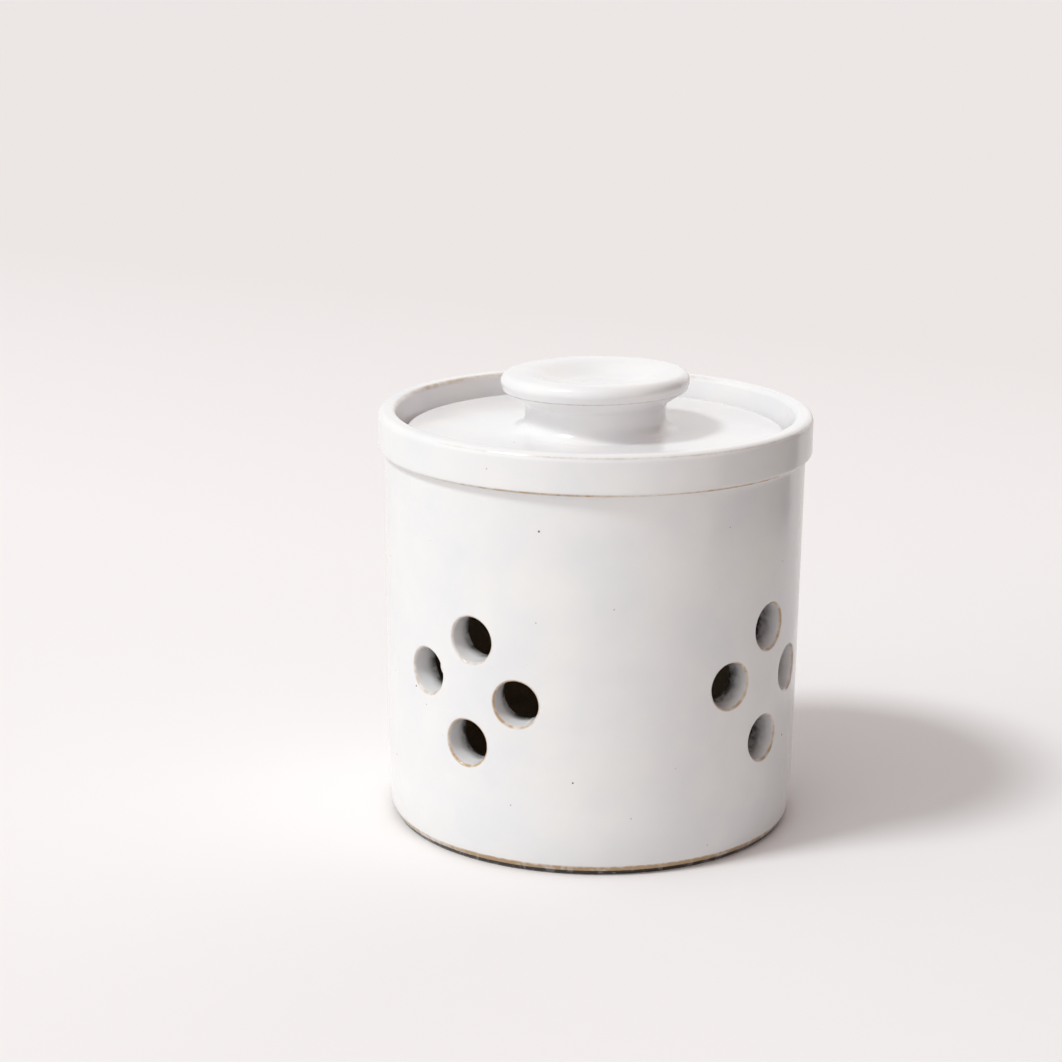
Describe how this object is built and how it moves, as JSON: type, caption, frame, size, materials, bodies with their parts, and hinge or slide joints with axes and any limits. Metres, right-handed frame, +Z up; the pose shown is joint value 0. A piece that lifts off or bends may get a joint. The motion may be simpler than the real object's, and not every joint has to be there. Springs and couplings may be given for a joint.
{
  "type": "garlic keeper",
  "caption": "Round stoneware jar with punched air holes in its wall, a flat lid that sits in a gallery inside the rim, and a low dished knob on the lid.",
  "frame": {"origin": "middle of the foot, on the surface the jar stands on", "axes": "+Z up along the jar's axis; the four groups of air holes face -Y (front), +X, +Y and -X"},
  "size_m": [0.133, 0.133, 0.1402],
  "materials": {
    "jar_glaze": "glossy white glaze over stoneware, breaking tan at the edges",
    "lid_glaze": "glossy white glaze over stoneware, breaking tan at the edges"
  },
  "bodies": {
    "jar": {"jar": "jar_glaze"},
    "lid": {"lid": "lid_glaze", "knob": "lid_glaze"}
  },
  "joints": [
    {"name": "lid_lift", "type": "slide", "parent": "jar", "child": "lid", "axis": [0, 0, 1], "range_m": [0, 0.15]}
  ]
}
